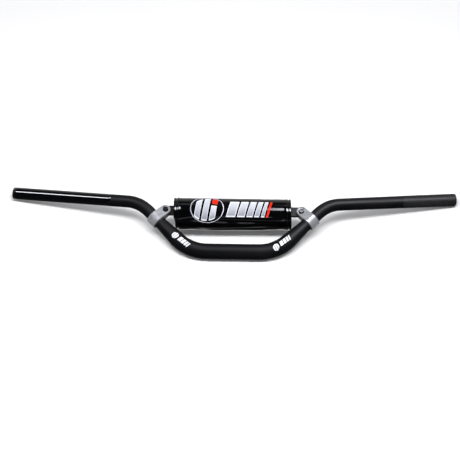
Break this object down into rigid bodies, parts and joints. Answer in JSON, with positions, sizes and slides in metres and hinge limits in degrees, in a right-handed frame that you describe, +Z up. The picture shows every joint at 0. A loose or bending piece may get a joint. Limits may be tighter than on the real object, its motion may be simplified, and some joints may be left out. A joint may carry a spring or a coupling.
{
  "type": "motocross handlebar",
  "caption": "Tapered tube handlebar, swept back at both ends, with a bolted crossbar between silver clamps and a padded vinyl crossbar cover.",
  "frame": {"origin": "middle of the riser clamp section, on its axis", "axes": "+X along the clamp section towards the tip on the right of a front view, +Y the way the bar rises as it lies, +Z up, with the bar lying on its clamp section and its two tips and its front face up"},
  "size_m": [0.8002, 0.163, 0.0667],
  "materials": {
    "bar_anodised": "satin",
    "crossbar_black": "satin",
    "clamp_silver": "satin",
    "liner_rubber": "matte",
    "bolt_black": "satin",
    "zinc_steel": "satin",
    "foam": "matte",
    "vinyl": "gloss",
    "binding": "satin",
    "tape": "matte"
  },
  "bodies": {
    "bar": {"bar_tube": "bar_anodised", "crossbar_tube": "crossbar_black", "crossbar_lug_left": "crossbar_black", "crossbar_lug_right": "crossbar_black", "crossbar_clamp_left": "clamp_silver", "crossbar_clamp_right": "clamp_silver", "clamp_liner_left": "liner_rubber", "clamp_liner_right": "liner_rubber", "clamp_bolt_left": "bolt_black", "clamp_bolt_right": "bolt_black", "clamp_washer_left": "zinc_steel", "clamp_washer_right": "zinc_steel", "clamp_nut_left": "zinc_steel", "clamp_nut_right": "zinc_steel"},
    "pad": {"pad_foam": "foam", "pad_cover": "vinyl", "loop_strip": "tape", "cover_binding_left": "binding", "cover_binding_right": "binding"},
    "flap": {"cover_flap": "vinyl", "hook_strip": "tape"}
  },
  "joints": [
    {"name": "pad_turn", "type": "hinge", "parent": "bar", "child": "pad", "pos_m": [0, 0.07274, 0.02761], "axis": [1, 0, 0], "range_deg": [-15, 20]},
    {"name": "flap_peel", "type": "hinge", "parent": "pad", "child": "flap", "pos_m": [0, 0.09862, 0.01302], "axis": [1, 0, 0], "range_deg": [0, 110]}
  ]
}
